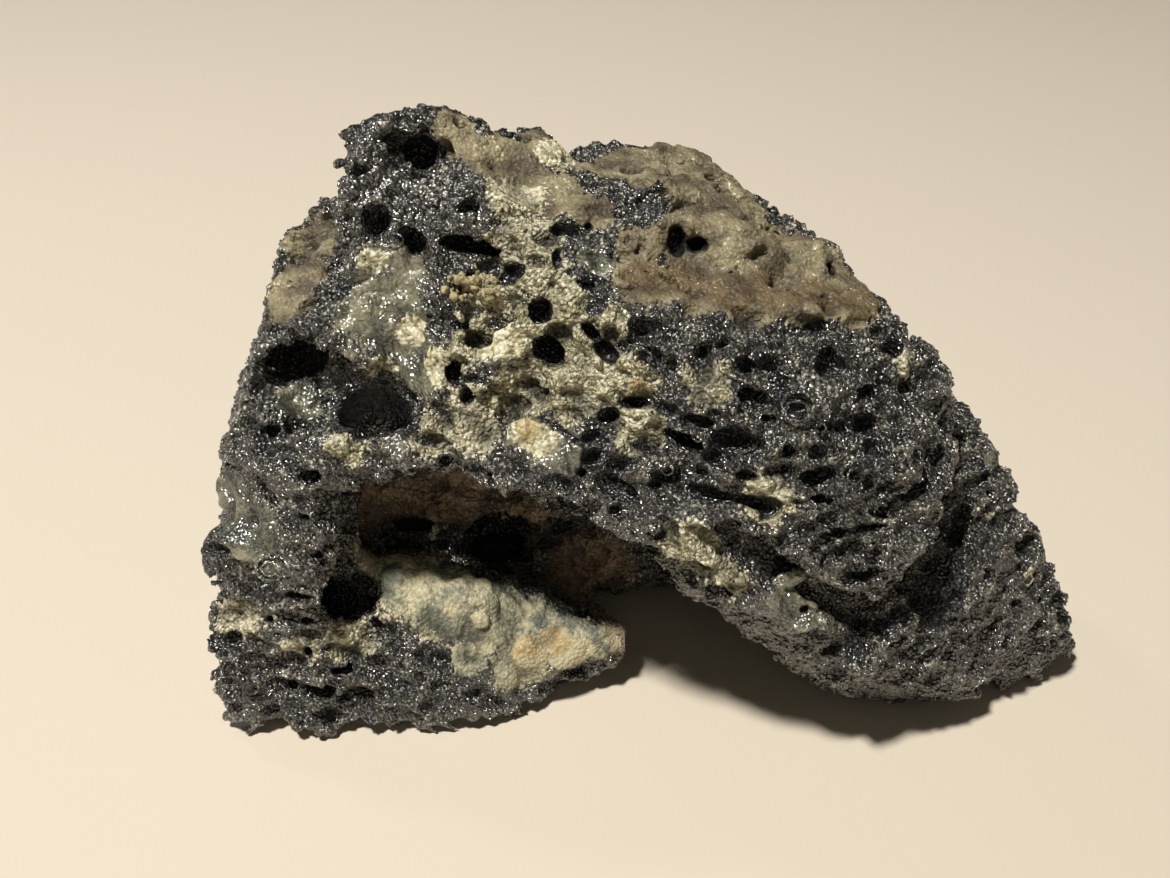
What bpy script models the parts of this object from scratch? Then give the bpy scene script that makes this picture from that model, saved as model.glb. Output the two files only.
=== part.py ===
"""Lava rock: one broken lump of vesicular basalt, about 46 mm long, resting on its own feet.

It is an arch. A tall left shoulder stands on a leg with a low toe, a bubbly block hangs on the
right over a thin lower ledge, a slab leans on its right end, and a cave opens under the span.
The top is a smoother crust in two shelves. Sizes are in millimetres.
Frame: +X along the length, +Y to the back, +Z up, origin under the middle of its box.
"""

import math
import random

import bmesh
import bpy
from mathutils import Matrix, Vector

MM = 0.001

JOIN_STEP = 0.5  # voxel that fuses the lumps
CARVED_STEP = 0.38  # voxel that cleans the carved rock
FACES_KEPT = 0.09  # share of the carved rock's faces that the solid keeps
GROUND_CUT = 0.35  # how much of the lowest points the feet lose to the ground
SWELL_SIZE = 5.0  # width of the broad swellings
SWELL_HEIGHT = 0.8
CRUMB_SIZE = 2.4  # width of the broken grain
CRUMB_HEIGHT = 0.8
FLOW = Vector((-0.80, -0.25, -0.55))  # the way the bubbles were drawn out as the lava cooled
BUBBLE_SEED = 7
BUBBLE_TRIES = 1500
DRAWN_OUT = 1.35  # length of a bubble along the flow, as a share of its radius
FLATTENED = 0.8  # its height, as a share of its radius
BUBBLE_SINK = (0.1, 0.5)  # how far its middle lies under the skin, in radii
LARGE_SHARE = 0.2  # share of the bubbles that are large
BLOCK_RADII = {"large": (0.8, 1.0), "small": (0.5, 0.72)}  # on the finer, bubbly block
OTHER_RADII = {"large": (0.95, 1.35), "small": (0.5, 0.85)}
BLOCK_FROM_X = -4.0  # the block is right of here
BLOCK_TO_Y = -4.0  # and in front of here
CRUST_FROM_Y = -3.0  # the top crust is behind here
CRUST_LEAN = 0.6  # and its faces look up at least this much
CRUST_BARE = 0.75  # share of its bubbles that never broke open
GROUND_SIDE = 80.0  # block that cuts the feet flat
GROUND_DEPTH = 20.0

# Broken masses of the rock, each the corners of a convex lump.
LUMPS = {
    "left_shoulder": [
        (-15.0, 0.0, 29.3), (-13.5, 1.4, 29.8), (-11.2, 2.7, 29.6), (-15.1, -2.4, 26.7),
        (-15.5, -5.0, 23.2), (-13.4, -7.9, 19.2), (-11.0, -8.7, 16.4), (-8.8, -8.7, 15.6),
        (-10.6, 0.4, 28.2), (-12.5, -5.3, 22.8), (-15.1, 2.8, 28.2), (-8.0, 6.3, 27.0),
        (-15.0, 0.3, 14.0), (-8.0, 4.3, 14.0),
    ],
    "left_bulge": [
        (-15.4, -5.0, 23.2), (-19.7, -5.5, 20.8), (-21.1, -6.6, 17.7), (-22.1, -7.2, 15.0),
        (-16.1, -9.0, 14.5), (-13.4, -7.9, 19.2), (-11.0, -8.7, 16.4), (-21.3, -2.0, 14.0),
        (-19.3, -2.5, 20.0), (-14.0, -2.0, 21.0), (-12.0, -2.0, 14.0),
    ],
    "left_flank": [
        (-14.5, 2.8, 24.9), (-16.5, 3.9, 24.3), (-18.8, 3.3, 23.5), (-19.3, 1.3, 22.0),
        (-19.6, -0.8, 21.3), (-19.3, -4.0, 20.3), (-22.0, -5.7, 14.0), (-21.5, 3.3, 12.0),
        (-20.0, 6.3, 1.0), (-12.0, 8.3, 22.0), (-12.0, 8.3, 1.0), (-14.0, -4.7, 21.0),
        (-21.5, -0.7, 1.0),
    ],
    "left_leg": [
        (-21.1, -6.6, 17.7), (-22.7, -7.6, 13.8), (-23.1, -8.6, 10.8), (-22.7, -9.7, 5.8),
        (-22.8, -10.6, 0.0), (-20.8, -11.1, 0.0), (-16.5, -10.9, 0.0), (-16.3, -10.0, 8.0),
        (-16.1, -9.0, 14.5), (-16.0, -1.7, 14.0), (-15.0, 0.3, 0.0), (-21.0, 3.3, 14.0),
        (-21.0, 4.3, 0.0),
    ],
    "toe": [
        (-16.0, -6.7, 9.5), (-12.7, -4.4, 8.0), (-5.3, -5.0, 5.5), (-0.8, -7.3, 4.0),
        (-5.3, -8.2, 1.2), (-9.5, -10.7, 0.0), (-12.1, -10.9, 0.0), (-16.5, -11.0, 0.0),
        (-17.0, -10.2, 4.0), (-14.0, -10.5, 3.5), (-9.0, -10.2, 2.5), (-2.0, -5.7, 0.0),
        (-16.0, 0.3, 0.0), (-4.0, -0.7, 0.0), (-15.0, -0.7, 4.5), (-6.0, -1.7, 2.5),
    ],
    "core": [
        (-14.0, 1.3, 28.0), (-8.0, 2.3, 28.3), (-3.0, 6.5, 26.6), (2.0, 6.9, 25.0),
        (8.5, 2.2, 21.9), (-15.0, 2.3, 2.0), (-4.0, 3.3, 2.0), (8.0, 0.3, 0.0),
        (14.0, -1.7, 0.0), (14.0, 6.3, 0.0), (-16.0, 7.3, 0.0), (-6.0, 12.3, 0.0),
        (6.0, 11.3, 0.0), (-14.0, 10.3, 12.0), (-4.0, 13.3, 12.0), (8.0, 10.3, 11.0),
        (10.0, -0.7, 18.0), (-10.0, 0.8, 12.0), (0.0, 0.8, 12.0), (8.0, -2.7, 12.0),
    ],
    "roof": [
        (-8.8, -8.7, 15.6), (-7.0, -9.8, 15.0), (-3.3, -11.1, 14.0), (-6.9, -8.7, 18.1),
        (-7.8, -6.3, 21.4), (-3.0, -6.2, 23.2), (-10.6, 0.4, 27.9), (-6.5, -1.4, 26.3),
        (-3.3, -1.4, 25.5), (0.4, -1.2, 24.4), (-9.0, 2.3, 14.0), (-2.0, 2.3, 13.5),
        (-12.0, -5.7, 22.0), (-5.2, 6.2, 27.4), (5.9, 4.4, 23.3), (8.5, 2.2, 21.9),
    ],
    "crust": [
        (-1.9, -2.5, 25.4), (0.8, -2.7, 25.2), (4.5, -2.6, 24.4), (8.0, -2.0, 23.3),
        (8.7, 2.2, 22.3), (6.0, 4.4, 23.5), (2.0, 6.9, 25.2), (-3.0, 6.5, 26.7),
        (-3.3, -1.4, 25.8), (8.0, 0.3, 18.0), (0.0, 2.3, 18.0),
    ],
    "right_block": [
        (-3.0, -5.9, 23.6), (3.7, -5.4, 23.4), (10.7, -3.7, 22.4), (-1.0, -8.2, 22.0),
        (5.0, -9.2, 21.8), (11.0, -6.7, 20.9), (4.2, -11.3, 19.3), (10.0, -10.3, 18.0),
        (0.0, -11.0, 17.6), (0.0, -12.1, 15.9), (3.0, -12.6, 15.3), (6.6, -13.2, 13.6),
        (9.8, -13.0, 11.7), (12.5, -11.2, 13.2), (13.3, -9.5, 15.4), (14.1, -5.6, 18.2),
        (12.6, -5.1, 20.6), (-3.3, -11.1, 14.6), (-6.0, -10.0, 15.2), (-3.0, 1.3, 22.6),
        (9.0, 1.3, 21.0), (12.0, 2.3, 14.0), (0.0, 3.3, 13.0), (-4.0, 0.3, 14.0),
    ],
    "cave_wall": [
        (-18.0, -1.7, 15.0), (-18.0, -0.7, 0.5), (-2.0, -0.2, 15.0), (-2.0, 0.0, 1.0),
        (7.0, -1.6, 12.0), (8.0, -1.8, 2.0), (-18.0, 4.3, 15.0), (8.0, 4.3, 12.0),
        (-18.0, 4.3, 0.5), (8.0, 4.3, 2.0),
    ],
    "lower_ledge": [
        (-3.4, -10.9, 14.8), (0.9, -12.7, 14.2), (3.9, -13.3, 12.4), (8.6, -13.2, 8.5),
        (4.5, -12.2, 10.1), (0.9, -11.4, 13.0), (9.6, -12.3, 8.6), (13.8, -11.2, 9.2),
        (15.1, -10.5, 3.5), (8.4, -10.6, 3.5), (9.8, -7.9, 0.0), (19.5, -7.5, 0.0),
        (13.0, -8.1, 0.0), (9.0, -3.7, 1.0), (7.5, -1.7, 12.0), (14.0, -1.7, 12.0),
        (4.5, -5.7, 11.5),
    ],
    "right_slab": [
        (15.3, -4.4, 16.4), (16.3, -5.4, 15.1), (18.8, -6.2, 10.7), (21.7, -6.7, 4.9),
        (23.1, -6.2, 2.1), (23.4, -5.3, 0.5), (19.7, -7.3, 0.0), (13.8, -10.4, 9.9),
        (14.5, -10.5, 4.0), (12.0, 2.3, 17.0), (18.0, 2.3, 10.0), (20.0, 1.3, 1.0),
        (12.0, 6.3, 1.0), (12.0, 5.3, 14.0), (10.5, -6.7, 0.3),
    ],
}

# Broken bubbles and hollows that give the front its look: centre, half sizes, and the tilt of
# the long side in degrees, turned about Y.
HOLLOWS = {
    "crown_hole": ((-11.5, 0.6, 27.7), (1.35, 1.3, 0.95), 0),
    "crown_hole_left": ((-14.5, -0.8, 27.6), (0.6, 0.7, 0.6), 0),
    "brow_hole": ((-13.6, -2.1, 25.8), (0.9, 1.1, 0.85), 0),
    "brow_hole_right": ((-9.3, -1.4, 26.0), (0.8, 0.8, 0.55), 0),
    "brow_slot": ((-8.6, -3.5, 24.4), (2.0, 1.0, 0.6), 24),
    "brow_slot_left": ((-12.0, -2.6, 25.0), (0.65, 0.9, 1.1), 0),
    "glass_dish": ((-12.2, -6.3, 23.6), (2.6, 2.6, 3.3), 0),
    "glass_dish_right": ((-8.1, -7.2, 22.2), (1.2, 1.1, 1.7), 0),
    "side_bubble": ((-17.0, -6.0, 19.4), (1.75, 1.9, 2.1), 0),
    "deep_bubble": ((-13.3, -6.9, 18.8), (1.8, 2.0, 1.35), 0),
    "leg_basin": ((-20.5, -9.2, 13.9), (2.3, 1.9, 2.0), 0),
    "leg_hole": ((-15.4, -7.9, 8.2), (1.6, 2.3, 1.5), 0),
    "leg_slot": ((-17.7, -10.4, 3.5), (0.9, 0.8, 0.5), 0),
    "cave_hole": ((-8.8, -0.6, 5.4), (2.0, 1.9, 1.4), 0),
    "cave_hole_left": ((-13.4, -1.2, 6.7), (1.3, 0.8, 0.6), 0),
    "seam_hole": ((-5.6, -6.8, 20.9), (0.65, 0.8, 0.9), 0),
    "seam_hole_top": ((-4.9, -1.8, 25.3), (0.75, 0.8, 0.6), 0),
    "seam_hole_right": ((-2.7, -7.0, 21.8), (0.5, 0.7, 0.9), 0),
    "glass_lump_edge": ((-6.4, -10.0, 18.9), (2.0, 1.3, 1.0), 10),
    "crust_hole": ((0.6, -1.2, 24.1), (1.1, 1.0, 0.8), 0),
    "crust_hole_right": ((1.7, -0.7, 24.4), (0.7, 0.8, 0.6), 0),
    "crust_notch": ((8.1, -1.6, 22.3), (0.5, 0.8, 0.7), 0),
    "ring_bubble": ((5.1, -9.6, 20.5), (0.8, 0.8, 0.75), 0),
    "block_hole_a": ((8.3, -9.0, 19.8), (0.65, 0.7, 0.6), 0),
    "block_hole_b": ((10.1, -6.1, 21.1), (0.65, 0.7, 0.75), 0),
    "block_hole_c": ((3.3, -7.8, 22.1), (0.6, 0.7, 0.6), 0),
    "block_slot_a": ((2.5, -10.5, 19.2), (1.1, 0.8, 0.5), 20),
    "block_slot_b": ((1.0, -11.0, 17.1), (0.95, 0.8, 0.5), 20),
    "block_slot_c": ((-2.8, -10.2, 16.5), (0.9, 0.8, 0.5), 15),
    "block_slot_d": ((7.0, -10.9, 17.8), (0.7, 0.7, 0.45), 15),
    "ledge_dish": ((8.8, -13.1, 9.2), (2.2, 1.2, 1.0), -20),
    "ledge_hole": ((12.1, -10.2, 9.8), (0.7, 0.7, 0.6), 0),
    "slab_hole": ((17.2, -7.5, 10.0), (0.55, 0.6, 0.65), 0),
    "back_bubble": ((-6.5, 12.3, 14.5), (2.3, 2.0, 2.0), 0),
    "back_bubble_low": ((5.0, 11.2, 6.5), (1.8, 1.7, 1.5), 0),
    "back_hollow": ((-15.0, 11.5, 15.0), (4.2, 3.4, 4.6), 25),
    "back_ledge": ((7.5, 10.0, 15.5), (5.5, 3.2, 2.0), 30),
    "under_left": ((-15.4, -3.0, -2.0), (6.6, 6.3, 3.7), 0),
    "under_back": ((-2.0, 4.6, -2.0), (12.5, 6.2, 3.9), 0),
    "under_right": ((13.8, -2.4, -2.0), (5.6, 3.6, 3.6), 0),
}

# Cracks: the points of each run, the radius there, and how deep it goes behind its mouth.
CRACKS = {
    "block_groove": (
        [(14.1, -5.2, 18.8), (14.8, -7.0, 15.5), (13.6, -8.6, 11.3), (12.5, -10.2, 8.9)],
        0.8,
        1.6,
    ),
    "block_undercut": (
        [(2.2, -12.6, 14.8), (5.8, -12.7, 12.7), (9.6, -12.3, 10.2)],
        0.55,
        2.2,
    ),
}


def clear_scene():
    for item in list(bpy.data.objects):
        bpy.data.objects.remove(item)


def collection(name):
    made = bpy.data.collections.new(name)
    bpy.context.scene.collection.children.link(made)
    return made


def lump_mesh():
    """All the lumps as overlapping closed hulls in one mesh, in metres."""
    shape = bmesh.new()
    for corners in LUMPS.values():
        points = [shape.verts.new(Vector(corner) * MM) for corner in corners]
        hull = bmesh.ops.convex_hull(shape, input=points)
        spare = set(hull["geom_interior"]) | set(hull["geom_unused"])
        loose = [part for part in spare if isinstance(part, bmesh.types.BMVert)]
        bmesh.ops.delete(shape, geom=loose, context="VERTS")
    bmesh.ops.recalc_face_normals(shape, faces=shape.faces)
    mesh = bpy.data.meshes.new("lava_rock")
    shape.to_mesh(mesh)
    shape.free()
    return mesh


def add_ellipsoid(shape, centre, half_sizes, turn, subdivisions):
    """Adds a closed ellipsoid to a bmesh. Sizes are in millimetres, and turn is a rotation matrix."""
    size = Matrix.Diagonal((*(Vector(half_sizes) * MM), 1))
    placed = Matrix.Translation(Vector(centre) * MM) @ turn @ size
    bmesh.ops.create_icosphere(shape, subdivisions=subdivisions, radius=1, matrix=placed)


def cutter(shape, name, cutters):
    mesh = bpy.data.meshes.new(name)
    shape.to_mesh(mesh)
    shape.free()
    item = bpy.data.objects.new(name, mesh)
    item.hide_render = True
    item.display_type = "WIRE"
    cutters.objects.link(item)
    return item


def hollow_cutter(cutters):
    """The named hollows and the cracks, fused into one closed cutter."""
    shape = bmesh.new()
    for centre, half_sizes, tilt in HOLLOWS.values():
        add_ellipsoid(shape, centre, half_sizes, Matrix.Rotation(math.radians(tilt), 4, "Y"), 3)
    for run, radius, depth in CRACKS.values():
        for start, end in zip(run, run[1:]):
            step = Vector(end) - Vector(start)
            beads = math.ceil(step.length / radius)
            for bead in range(beads + 1):
                place = Vector(start) + step * bead / beads
                add_ellipsoid(shape, place, (radius, depth, radius), Matrix.Identity(4), 2)
    item = cutter(shape, "hollows", cutters)
    remesh(item, "fuse_hollows", CARVED_STEP)
    return item


def bubble_radius(place, normal, draw):
    """Radius of a bubble that broke open at this point of the skin, in mm, or None for none."""
    on_top_crust = normal.z > CRUST_LEAN and place.y > CRUST_FROM_Y
    if on_top_crust and draw.random() < CRUST_BARE:
        return None
    size = "large" if draw.random() < LARGE_SHARE else "small"
    on_block = place.x > BLOCK_FROM_X and place.y < BLOCK_TO_Y
    radii = BLOCK_RADII if on_block else OTHER_RADII
    return draw.uniform(*radii[size])


def bubble_cutter(skin, cutters):
    """Bubbles that broke open all over the skin, drawn out along the flow and apart from each other."""
    draw = random.Random(BUBBLE_SEED)
    along_flow = FLOW.to_track_quat("X", "Z").to_matrix().to_4x4()
    areas = [face.area for face in skin.polygons]
    shape = bmesh.new()
    made = []
    for face in draw.choices(skin.polygons, areas, k=BUBBLE_TRIES):
        place = face.center / MM
        radius = bubble_radius(place, face.normal, draw)
        if radius is None:
            continue
        centre = place - face.normal * radius * draw.uniform(*BUBBLE_SINK)
        reach = radius * DRAWN_OUT
        if all((centre - other).length > reach + other_reach for other, other_reach in made):
            made.append((centre, reach))
            add_ellipsoid(shape, centre, (reach, radius, radius * FLATTENED), along_flow, 2)
    return cutter(shape, "bubbles", cutters)


def remesh(item, name, step):
    modifier = item.modifiers.new(name, "REMESH")
    modifier.mode = "VOXEL"
    modifier.voxel_size = step * MM


def smooth(item, name, repeats):
    modifier = item.modifiers.new(name, "SMOOTH")
    modifier.factor = 0.5
    modifier.iterations = repeats


def roughen(item, name, width, height, level):
    """Moves the skin along its normals by a cloud pattern. Where the pattern is at level, it stays."""
    pattern = bpy.data.textures.new(name, "CLOUDS")
    pattern.noise_scale = width * MM
    pattern.noise_depth = 1
    pattern.intensity = 1.0
    modifier = item.modifiers.new(name, "DISPLACE")
    modifier.texture = pattern
    modifier.texture_coords = "LOCAL"
    modifier.strength = height * MM
    modifier.mid_level = level


def cut(item, name, tool):
    """Takes a closed tool away. EXACT loses the whole rock on this rough a skin, and MANIFOLD doesn't."""
    modifier = item.modifiers.new(name, "BOOLEAN")
    modifier.operation = "DIFFERENCE"
    modifier.solver = "MANIFOLD"
    modifier.object = tool


def evaluated_mesh(item):
    graph = bpy.context.evaluated_depsgraph_get()
    return bpy.data.meshes.new_from_object(item.evaluated_get(graph))


def ground_block(cutters):
    """A block under the rock that flattens the lowest points of its feet."""
    shape = bmesh.new()
    size = Matrix.Diagonal((GROUND_SIDE * MM, GROUND_SIDE * MM, GROUND_DEPTH * MM, 1))
    bmesh.ops.create_cube(shape, size=1, matrix=size)
    block = cutter(shape, "ground", cutters)
    block.location.z = (GROUND_CUT - GROUND_DEPTH / 2) * MM
    return block


def basalt():
    """Dark glassy basalt, broken rough."""
    made = bpy.data.materials.new("vesicular_basalt")
    made.use_nodes = True
    shader = made.node_tree.nodes["Principled BSDF"]
    shader.inputs["Base Color"].default_value = (0.035, 0.033, 0.030, 1)
    shader.inputs["Roughness"].default_value = 0.55
    shader.inputs["Metallic"].default_value = 0.0
    return made


def stand_on_origin(items, rock):
    """Hangs everything on an empty that puts the middle of the rock's box over the origin."""
    mesh = evaluated_mesh(rock)
    low = [min(v.co[axis] for v in mesh.vertices) for axis in range(3)]
    high = [max(v.co[axis] for v in mesh.vertices) for axis in range(3)]
    bpy.data.meshes.remove(mesh)
    base = bpy.data.objects.new("lava_rock_base", None)
    bpy.context.scene.collection.objects.link(base)
    base.location = (-(low[0] + high[0]) / 2, -(low[1] + high[1]) / 2, -low[2])
    for item in items:
        item.parent = base


def main():
    clear_scene()
    rock_parts = collection("lava_rock")
    cutters = collection("cutters")
    rock = bpy.data.objects.new("lava_rock", lump_mesh())
    rock.data.materials.append(basalt())
    rock_parts.objects.link(rock)
    remesh(rock, "join_lumps", JOIN_STEP)
    smooth(rock, "soften_corners", 1)
    roughen(rock, "swellings", SWELL_SIZE, SWELL_HEIGHT, 0.2)
    roughen(rock, "broken_grain", CRUMB_SIZE, CRUMB_HEIGHT, 0.5)
    skin = evaluated_mesh(rock)
    hollows = hollow_cutter(cutters)
    bubbles = bubble_cutter(skin, cutters)
    bpy.data.meshes.remove(skin)
    ground = ground_block(cutters)
    cut(rock, "cut_hollows", hollows)
    cut(rock, "cut_bubbles", bubbles)
    remesh(rock, "clean_carving", CARVED_STEP)
    thin = rock.modifiers.new("thin_faces", "DECIMATE")
    thin.ratio = FACES_KEPT
    cut(rock, "flat_feet", ground)
    stand_on_origin([rock, hollows, bubbles, ground], rock)


main()
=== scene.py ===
"""A lump of frothy basalt lava, 46 mm long, with its broken, glassy, bubbly skin."""

import math

import bmesh
import bpy
import numpy as np
import openvdb as vdb
from mathutils import Matrix, Vector
from mathutils.bvhtree import BVHTree


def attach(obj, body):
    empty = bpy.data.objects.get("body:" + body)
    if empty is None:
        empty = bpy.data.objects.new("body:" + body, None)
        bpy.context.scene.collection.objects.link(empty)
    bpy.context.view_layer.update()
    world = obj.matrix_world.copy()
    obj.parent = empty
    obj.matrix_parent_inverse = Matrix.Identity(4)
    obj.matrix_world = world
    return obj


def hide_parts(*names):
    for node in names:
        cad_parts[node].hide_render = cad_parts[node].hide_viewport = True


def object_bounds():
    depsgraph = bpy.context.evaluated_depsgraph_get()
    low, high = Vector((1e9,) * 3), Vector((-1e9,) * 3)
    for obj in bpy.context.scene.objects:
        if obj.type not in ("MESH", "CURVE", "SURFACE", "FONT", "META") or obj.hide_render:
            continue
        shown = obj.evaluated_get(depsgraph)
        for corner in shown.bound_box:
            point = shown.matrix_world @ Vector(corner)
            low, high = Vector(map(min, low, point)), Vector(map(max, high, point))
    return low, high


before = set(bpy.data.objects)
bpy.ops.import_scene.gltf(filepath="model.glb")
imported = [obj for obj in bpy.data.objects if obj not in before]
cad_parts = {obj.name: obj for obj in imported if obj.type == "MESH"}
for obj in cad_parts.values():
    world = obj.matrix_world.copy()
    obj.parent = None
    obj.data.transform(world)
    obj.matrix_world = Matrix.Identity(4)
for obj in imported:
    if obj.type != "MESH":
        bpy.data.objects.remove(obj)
cad_low, cad_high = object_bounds()


# ---------------------------------------------------------------------------------------------
# The camera looks down at the rock's broken front from 36.5 degrees above the table, about
# 65 mm away, as an eye would that holds a pebble close.
# ---------------------------------------------------------------------------------------------
MM = 0.001
FRAME_WIDTH, FRAME_HEIGHT = 1170, 878
FOCAL_IN_PIXELS = 1200
EYE = Vector((-4.0, -51.74, 49.65))
LOOK_DOWN = math.radians(36.5)

lens = bpy.data.cameras.new("close_up_camera")
lens.sensor_width = 36
lens.lens = FOCAL_IN_PIXELS / FRAME_WIDTH * lens.sensor_width
lens.clip_start = 0.001
lens.clip_end = 10
camera = bpy.data.objects.new("close_up_camera", lens)
camera.location = EYE * MM
camera.rotation_euler = (math.radians(90) - LOOK_DOWN, 0, 0)
bpy.context.scene.collection.objects.link(camera)
bpy.context.scene.camera = camera


# ---------------------------------------------------------------------------------------------
# The floor: a plain sheet of pale studio paper, with the rock standing on it.
# ---------------------------------------------------------------------------------------------
FLOOR_SIDE = 2.0
PAPER = "D9CFBE"


def linear(hex_colour):
    """An sRGB hex colour as the linear RGBA that shaders take."""
    shares = [int(hex_colour[i : i + 2], 16) / 255 for i in (0, 2, 4)]
    return [s / 12.92 if s <= 0.04045 else ((s + 0.055) / 1.055) ** 2.4 for s in shares] + [1]


# Uncoated paper is matt: it takes the rock's shadow without a shine of its own.
paper = bpy.data.materials.new("matt_studio_paper")
paper.use_nodes = True
paper_shader = paper.node_tree.nodes["Principled BSDF"]
paper_shader.inputs["Base Color"].default_value = linear(PAPER)
paper_shader.inputs["Roughness"].default_value = 0.9

bm = bmesh.new()
bmesh.ops.create_grid(bm, x_segments=1, y_segments=1, size=FLOOR_SIDE / 2)
floor_mesh = bpy.data.meshes.new("paper_floor")
bm.to_mesh(floor_mesh)
bm.free()
floor_mesh.materials.append(paper)
floor = bpy.data.objects.new("paper_floor", floor_mesh)
bpy.context.scene.collection.objects.link(floor)


# ---------------------------------------------------------------------------------------------
# The light: one soft lamp high at the left and in front, a weak wide fill from the front, a weak
# cool lamp behind at the left that wakes glints along the crest, and a pale room.
# ---------------------------------------------------------------------------------------------
LAMPS = {
    # name: (place mm, width mm, watts, colour)
    "key_softbox": ((-120, -100, 390), 36, 2.1, "FFFAF2"),
    "front_fill": ((60, -400, 220), 300, 0.06, "FFF4E2"),
    "cool_glint": ((-260, 180, 330), 40, 0.16, "E6EEFF"),
}
AIM = Vector((0, -2, 12))
ROOM = "ECE6DA"
ROOM_STRENGTH = 0.055

for name, (place, width, watts, tint) in LAMPS.items():
    lamp = bpy.data.lights.new(name, "AREA")
    lamp.size = width * MM
    lamp.energy = watts
    lamp.color = linear(tint)[:3]
    holder = bpy.data.objects.new(name, lamp)
    holder.location = Vector(place) * MM
    holder.rotation_euler = (AIM - Vector(place)).to_track_quat("-Z", "Y").to_euler()
    bpy.context.scene.collection.objects.link(holder)

room = bpy.data.worlds.new("pale_room")
room.use_nodes = True
room.node_tree.nodes["Background"].inputs["Color"].default_value = linear(ROOM)
room.node_tree.nodes["Background"].inputs["Strength"].default_value = ROOM_STRENGTH
bpy.context.scene.world = room
bpy.context.scene.view_settings.view_transform = "Standard"


# ---------------------------------------------------------------------------------------------
# The rock's skin: basalt lava that froze while gas was leaving it, so it is full of bubbles, and
# then broke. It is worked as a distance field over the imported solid, in mm: the solid's form is
# softened, lumps and knobs are laid on it, bubbles are carved out, and the skin is meshed.
# ---------------------------------------------------------------------------------------------
# The form is read at coarse points and the skin at fine ones: steps in mm. The form's field is
# true for FORM_REACH steps on each side of the surface, and the points run MARGIN past the box.
# Corners of the solid that lie within SAME_POINT, in metres, are one.
FORM_STEP = 0.3
FORM_REACH = 12
STEP = 0.1
MARGIN = 0.9
SAME_POINT = 0.000001

bm = bmesh.new()
bm.from_mesh(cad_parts["lava_rock"].data)
bmesh.ops.remove_doubles(bm, verts=bm.verts, dist=SAME_POINT)
bmesh.ops.triangulate(bm, faces=bm.faces)
solid_tree = BVHTree.FromBMesh(bm)
solid_points = np.array([v.co for v in bm.verts], np.float32) / MM
solid_faces = np.array([[v.index for v in f.verts] for f in bm.faces], np.uint32)
bm.free()

box_low = np.array(cad_low) / MM
box_high = np.array(cad_high) / MM


def places_along(step):
    """The x, y and z places of a grid of this step over the rock, each a multiple of the step."""
    return [
        np.arange(math.floor(a / step), math.ceil(b / step) + 1) * step
        for a, b in zip(box_low - MARGIN, box_high + MARGIN)
    ]


def stretched(coarse, coarse_places, places):
    """A coarse field read at finer places, with a cubic spline along each axis."""
    for axis in (2, 1, 0):
        step = coarse_places[axis][1] - coarse_places[axis][0]
        at = (places[axis] - coarse_places[axis][0]) / step
        cell = np.floor(at).astype(int)
        t = at - cell
        shares = ((1 - t) ** 3, 3 * t**3 - 6 * t**2 + 4, -3 * t**3 + 3 * t**2 + 3 * t + 1, t**3)
        shape = [1, 1, 1]
        shape[axis] = -1
        finer = 0
        for offset, share in enumerate(shares, start=-1):
            neighbour = np.clip(cell + offset, 0, coarse.shape[axis] - 1)
            weight = (share / 6).astype(np.float32).reshape(shape)
            finer = finer + np.take(coarse, neighbour, axis) * weight
        coarse = finer
    return coarse


def blurred(field, passes):
    """The field with each point drawn towards its neighbours, once for each pass."""
    for _ in range(passes):
        for axis in range(3):
            field = (np.roll(field, 1, axis) + 2 * field + np.roll(field, -1, axis)) / 4
    return field


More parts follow.
